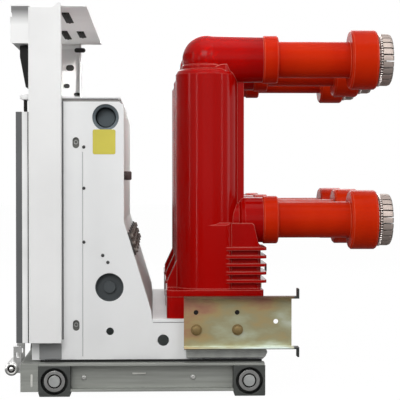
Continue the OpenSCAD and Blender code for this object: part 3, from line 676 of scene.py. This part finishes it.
lift_x, lift_z = panel_high.x + 0.122, 0.457
bushes = bmesh.new()
for side in (-1, 1):
    add_turned(bushes, (lift_x, side * (housing_side - 0.003), lift_z), (0, -side, 0),
               [(0.0262, 0.0002), (0.0185, 0.0002), (0.0172, 0.0007), (0.0166, 0.0020),
                (0.0166, 0.0085), (0.0180, 0.0085), (0.0186, 0.0045), (0.0262, 0.0045),
                (0.0262, 0.0002)], 48)
add_piece("lifting_bushes", bushes,
          steel("blued_steel", (0.085, 0.106, 0.118), 0.5, metallic=0.3))

# ---- Rear wall fittings ----
# A dark nylon saddle clips the trip wiring to the rear wall, and bolts on small straps hold the
# drive's guide plates to the slope below.

wall_back = wall_low.x + 0.015
saddles = bmesh.new()
add_block(saddles, (wall_back - 0.0005, -0.283, 0.3535),
          (wall_back + 0.0125, -0.265, 0.3680), 0.0022)
add_block(saddles, (wall_back - 0.0005, -0.287, 0.3570),
          (wall_back + 0.004, -0.261, 0.3645), 0.0015)
add_piece("wiring_saddle", saddles, moulded("saddle_nylon", (0.040, 0.022, 0.020), 0.5))

slope_top = Vector((wall_back, 0, 0.284))
slope_foot = Vector((wall_high.x - 0.002, 0, 0.137))
slope_run = (slope_foot - slope_top).normalized()
slope_out = Vector((-slope_run.z, 0, slope_run.x))
slope_turn = slope_out.to_track_quat("Z", "Y")
strap_size = Vector((0.018, 0.040, 0.003))
straps = bmesh.new()
slope_bolts = bmesh.new()
for y in (-0.268, -0.158, -0.052, 0.052, 0.158, 0.268):
    seat = slope_top + slope_run * 0.039 + Vector((0, y, 0))
    strap = bmesh.ops.create_cube(straps, size=1, matrix=Matrix.LocRotScale(
        seat + slope_out * strap_size.z / 2, slope_turn, strap_size))
    round_edges(straps, edges_of(strap), 0.0008, 2)
    for step in (-0.012, 0.0, 0.012):
        add_bolt(slope_bolts, seat + slope_run * step + slope_out * 0.0029, slope_out, 0.0085)
add_piece("guide_straps", straps,
          steel("strap_zinc", (0.060, 0.053, 0.049), 0.45, metallic=0.4))
add_piece("slope_bolts", slope_bolts,
          steel("dark_zinc", (0.20, 0.17, 0.15), 0.4, metallic=0.6))

# ---- Poles and sleeves ----
# Glossy cast epoxy resin, dyed right through: a blood red for the poles and a warmer red for
# the sleeves. The castings are slightly wavy and carry faint flow marks.

# Two colours mixed by a share, or multiplied together.
def blend(tree, kind, share, first, second):
    node = tree.nodes.new("ShaderNodeMix")
    node.data_type = "RGBA"
    node.blend_type = kind
    for name, value in (("Factor", share), ("A", first), ("B", second)):
        feed(tree, node.inputs[name], value)
    return node.outputs["Result"]


def cast_resin(name, colour, deep, edge_wear_and_highlight, roughness, gloss):
    material, tree, shader = surface(name, roughness, gloss=gloss)
    body = shades(tree, noise(tree, 12, 5, (1, 1, 0.16)), [(0.32, deep), (0.68, colour)])
    rounded = tree.nodes.new("ShaderNodeBevel")
    rounded.samples = 6
    rounded.inputs["Radius"].default_value = 0.0018
    flat = tree.nodes.new("ShaderNodeNewGeometry")
    facing = tree.nodes.new("ShaderNodeVectorMath")
    facing.operation = "DOT_PRODUCT"
    tree.links.new(rounded.outputs["Normal"], facing.inputs[0])
    tree.links.new(flat.outputs["Normal"], facing.inputs[1])
    # Rounded edges are mixed toward a paler pink: partly edge wear, partly a painted highlight.
    edge = maths(tree, "MULTIPLY", share_between(tree, facing.outputs["Value"], 0.995, 0.90), 0.55)
    resin = blend(tree, "MIX", edge, body, (*edge_wear_and_highlight, 1))
    tree.links.new(resin, shader.inputs["Base Color"])
    relief(tree, shader, noise(tree, 24, 2, (1, 1, 0.14)), 0.16, 0.003, 0.0016)
    return material


dress(cast_resin("pole_resin", (0.35, 0.0010, 0.0002), (0.27, 0.0008, 0.0002),
                 (0.66, 0.20, 0.16), 0.13, 0.09), "pole_left", "pole_middle", "pole_right")
dress(cast_resin("sleeve_resin", (0.55, 0.024, 0.0016), (0.45, 0.012, 0.0010),
                 (0.70, 0.22, 0.13), 0.26, 0.05), *[n for n in nodes if "sleeve" in n])

# ---- Contacts ----
# Each contact is a cage of silvered copper fingers, dulled to a warm gray. Its colour darkens
# inside the cage and between the fingers, as painted shade in those recesses.

arm_ys = [sum(corner.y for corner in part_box(f"upper_contact_{place}")) / 2
          for place in ("left", "middle", "right")]
arm_zs = [sum(corner.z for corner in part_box(f"{level}_contact_left")) / 2
          for level in ("lower", "upper")]
cage_low, cage_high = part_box("upper_contact_left")
cage_r = (cage_high.z - cage_low.z) / 2

# The silver's colour follows its distance from the axis of the nearest arm.
silver, silver_tree, silver_shader = surface("contact_silver", 0.48, 0.75)
silver_squares = []
for axis, places in (("Y", arm_ys), ("Z", arm_zs)):
    half_gap = (places[1] - places[0]) / 2
    nearest = maths(silver_tree, "WRAP", place_on(silver_tree, axis),
                    places[0] + half_gap, places[0] - half_gap)
    off_axis = maths(silver_tree, "SUBTRACT", nearest, places[0])
    silver_squares.append(maths(silver_tree, "POWER", off_axis, 2))
silver_radius = maths(silver_tree, "SQRT", maths(silver_tree, "ADD", *silver_squares))
silver_depth = share_between(silver_tree, silver_radius, cage_r - 0.016, cage_r - 0.001)
# Dark deep in the cage as painted shade, paler on the outer faces.
silver_colour_and_shade = shades(silver_tree, silver_depth,
                       [(0.0, (0.24, 0.20, 0.17)), (0.6, (0.07, 0.058, 0.05)),
                        (0.9, (0.20, 0.17, 0.15)), (1.0, (0.42, 0.35, 0.315))])
silver_tree.links.new(silver_colour_and_shade, silver_shader.inputs["Base Color"])
relief(silver_tree, silver_shader, noise(silver_tree, 220, 3, (0.1, 1, 1)), 0.2, 0.0003)
dress(silver, *[n for n in nodes if n.split("_")[1] == "contact"])

# ---- Garter springs ----
# Two closely coiled springs of bright steel wire lie in grooves round each cage and press its
# fingers together. Each coil is one turn of the wire, leaning a little as it goes round.

spring_low, spring_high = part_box("contact_springs")
wire_r = 0.0024
ring_r = (spring_high.z - arm_zs[1]) - 0.0019
coil_count = 60
one_ring = bmesh.new()
for step in range(coil_count):
    turn = math.tau * step / coil_count
    seat = Matrix.Translation(Vector((0, math.cos(turn), math.sin(turn))) * ring_r)
    lean = Matrix.Rotation(turn, 4, "X") @ Matrix.Rotation(math.radians(14), 4, "Z")
    bmesh.ops.create_uvsphere(one_ring, u_segments=8, v_segments=5, radius=wire_r,
                              matrix=seat @ lean @ Matrix.Diagonal((1.3, 1, 0.66, 1)))
ring_mesh = bpy.data.meshes.new("garter_ring")
one_ring.to_mesh(ring_mesh)
one_ring.free()
coils = bmesh.new()
for x in (spring_low.x + 0.0019, spring_high.x - 0.0019):
    for y in arm_ys:
        for z in arm_zs:
            coils.from_mesh(ring_mesh)
            bmesh.ops.translate(coils, verts=coils.verts[-len(ring_mesh.vertices):], vec=(x, y, z))
bpy.data.meshes.remove(ring_mesh)
garters = add_piece("garter_springs", coils, steel("garter_steel", (0.88, 0.80, 0.76), 0.3))
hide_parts("contact_springs")

# ---- Guide brackets ----
# Zinc-plated steel passivated to an iridescent yellow, which clouds to pink and to green. Two
# hexagonal bolts hold each bracket's web to the rail on the lower box.

# The tint runs down the bracket. Bands along its flanges' edges are a painted highlight on the
# bottom flange and painted shade under it and on the top flange, and its end is black.
bracket_low, bracket_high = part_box("guide_bracket_left")
chromate, chromate_tree, chromate_shader = surface("yellow_chromate", 0.42, 0.45, 0.4)
chromate_clouds = noise(chromate_tree, 16, 5, (0.8, 1, 1.8))
chromate_x, chromate_z = place_on(chromate_tree, "X"), place_on(chromate_tree, "Z")
from_front = maths(chromate_tree, "SUBTRACT", chromate_x, bracket_low.x)
from_top = maths(chromate_tree, "SUBTRACT", chromate_z, bracket_high.z)
drift = maths(chromate_tree, "MULTIPLY_ADD", from_front, 0.9, chromate_clouds)
tints = shades(chromate_tree, maths(chromate_tree, "MULTIPLY_ADD", from_top, -3.5, drift),
               [(0.50, (0.28, 0.11, 0.08)), (0.62, (0.35, 0.19, 0.11)),
                (0.72, (0.36, 0.27, 0.125)), (0.82, (0.31, 0.28, 0.16)),
                (0.92, (0.37, 0.37, 0.25)), (1.0, (0.46, 0.48, 0.38))])
rim_foot, rim_rise, bracket_t = bracket_low.z + 0.013, 0.086, 0.003
# Painted highlight on the bottom flange, painted shade under it and on the top flange.
rim_highlight_and_shade = [(0.0, (0.25, 0.25, 0.25)), (bracket_t * 0.35, (0.5, 0.5, 0.5)),
              (bracket_t * 0.6, (2.0, 2.2, 2.7)), (bracket_t, (1.9, 2.05, 2.4)),
              (bracket_t * 1.3, (1, 1, 1)), (0.0825, (1, 1, 1)), (0.0835, (0.42, 0.42, 0.42)),
              (rim_rise, (0.3, 0.3, 0.3))]
rim_share = share_between(chromate_tree, chromate_z, rim_foot, rim_foot + rim_rise)
rim_light_and_shade = shades(chromate_tree, rim_share,
              [(height / rim_rise, shade) for height, shade in rim_highlight_and_shade])
end_share = share_between(chromate_tree, chromate_x,
                          bracket_high.x - 0.0095, bracket_high.x - 0.0075)
plating = blend(chromate_tree, "MIX", end_share, blend(chromate_tree, "MULTIPLY", 1, tints, rim_light_and_shade),
                (0.035, 0.04, 0.038, 1))
chromate_tree.links.new(plating, chromate_shader.inputs["Base Color"])
relief(chromate_tree, chromate_shader, chromate_clouds, 0.06, 0.001)
dress(chromate, "guide_bracket_left", "guide_bracket_right")

bracket_bolts = bmesh.new()
for side in (-1, 1):
    web = side * (-bracket_low.y - 0.018)
    for back in (0.0205, 0.0885):
        add_bolt(bracket_bolts, (bracket_low.x + back, web, 0.1065), (0, side, 0), 0.013)
add_piece("bracket_bolts", bracket_bolts,
          steel("bolt_zinc", (0.22, 0.15, 0.055), 0.5, metallic=0.5))

# ---- Bracket plugs ----
# Black rubber buttons close the two holes above each bracket's bolts, as painted shade for the
# dark seen through the holes. Each stands out as a low button.

plug_y, plug_z = -bracket_low.y - 0.0215, bracket_low.z + 0.0715
bracket_hole_shades = bmesh.new()
for side in (-1, 1):
    for back in (0.020, 0.088):
        add_turned(bracket_hole_shades, (bracket_low.x + back, side * plug_y, plug_z), (0, side, 0),
                   [(0, 0), (0.0042, 0), (0.0042, 0.0022), (0.0030, 0.0026), (0, 0.0024)], 24)
add_piece("bracket_hole_shade_plugs", bracket_hole_shades, rubber)

# ---- Truck ----
# Folded channels of dull zinc-plated steel run between dark wheel blocks. Bright bearings turn
# on studs with pale heads, and chrome grips stand at the front.

wheels = ("wheel_front_left", "wheel_front_right", "wheel_rear_left", "wheel_rear_right")
dress(steel("rail_zinc", (0.40, 0.41, 0.39), 0.5, metallic=0.5), "bracket_rails")
dress(steel("truck_zinc", (0.32, 0.33, 0.305), 0.45, (0.15, 1, 3), 0.5),
      "truck_channel_left", "truck_channel_right", "truck_crossbeams")
dress(steel("block_iron", (0.060, 0.064, 0.060), 0.5, metallic=0.4), "wheel_blocks", "racking_boss")
dress(steel("bearing_steel", (0.40, 0.40, 0.39), 0.32), *wheels)
dress(steel("stud_zinc", (0.42, 0.43, 0.42), 0.4, metallic=0.4), "axle_studs")
dress(steel("grip_chrome", (0.60, 0.60, 0.59), 0.3), "pull_grips")

# ---- Bearing seals ----
# A black rubber seal fills the sunk ring between a bearing's two races, on both faces. It is
# pressed into the outer race and turns with it.

seal_profile = [(0.0096, 0), (0.0096, 0.0007), (0.0101, 0.001), (0.0111, 0.001),
                (0.0117, 0.0007), (0.0117, 0), (0.0096, 0)]
for wheel in wheels:
    wheel_low, wheel_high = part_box(wheel)
    hub = (wheel_low + wheel_high) / 2
    seal_ring = bmesh.new()
    for side in (-1, 1):
        face = hub.y + side * (wheel_high.y - wheel_low.y) / 2
        add_turned(seal_ring, (hub.x, face - side * 0.0016, hub.z), (0, side, 0), seal_profile, 40)
    seal = add_piece(wheel + "_seal", seal_ring, rubber)
    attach(seal, wheel)

# ---- Grip caps ----
# A turned cap with a sunk ring and a screw head closes each end of a grip. The ring is black
# rubber, and the rest is chrome.

grip_low, grip_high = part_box("pull_grips")
grip_caps = bmesh.new()
cap_rings = bmesh.new()
for side in (-1, 1):
    seat = (grip_low.x + 0.011, side * grip_high.y, grip_low.z + 0.011)
    add_turned(grip_caps, seat, (0, side, 0),
               [(0, 0.0004), (0, 0.0016), (0.0022, 0.0016), (0.0034, 0.0010), (0.0036, 0.0002),
                (0, 0.0002)], 32)
    add_turned(grip_caps, seat, (0, side, 0),
               [(0.0062, 0), (0.0064, 0.0012), (0.0084, 0.0014), (0.0100, 0.0006), (0.0104, 0),
                (0.0062, 0)], 40)
    add_turned(cap_rings, seat, (0, side, 0),
               [(0.0034, 0), (0.0034, 0.0004), (0.0064, 0.0004), (0.0064, 0), (0.0034, 0)], 40)
add_piece("grip_caps", grip_caps, steel("cap_chrome", (0.66, 0.66, 0.64), 0.3))
add_piece("grip_rings", cap_rings, rubber)

# ---- Truck fittings ----
# A slotted latch plate closes the crossbeam's end, low screws sit in each channel's web, and the
# interlock's tongue shows between them.

truck_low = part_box("truck_channel_left")[0]
beam_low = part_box("truck_crossbeams")[0]
beam_face, web_face = -beam_low.y, -truck_low.y - 0.020
fittings = bmesh.new()
for low, high in both_sides((beam_low.x + 0.0165, beam_face - 0.001, 0.016),
                            (beam_low.x + 0.0200, beam_face + 0.0004, 0.037)):
    add_plate(fittings, low, high, 1, 0.0017)
for low, high in both_sides((beam_low.x + 0.182, web_face - 0.001, 0.0335),
                            (beam_low.x + 0.204, web_face + 0.003, 0.0365)):
    add_block(fittings, low, high, 0.0006)
add_piece("latch_slots", fittings,
          steel("slot_zinc", (0.62, 0.62, 0.58), 0.5, metallic=0.2))
channel_screws = bmesh.new()
for side in (-1, 1):
    for back in (0.102, 0.282):
        add_screw(channel_screws, (beam_low.x + back, side * (web_face - 0.0002), 0.0285),
                  (0, side, 0), 0.0045)
add_piece("channel_screws", channel_screws,
          steel("screw_zinc", (0.50, 0.50, 0.48), 0.4, metallic=0.4))
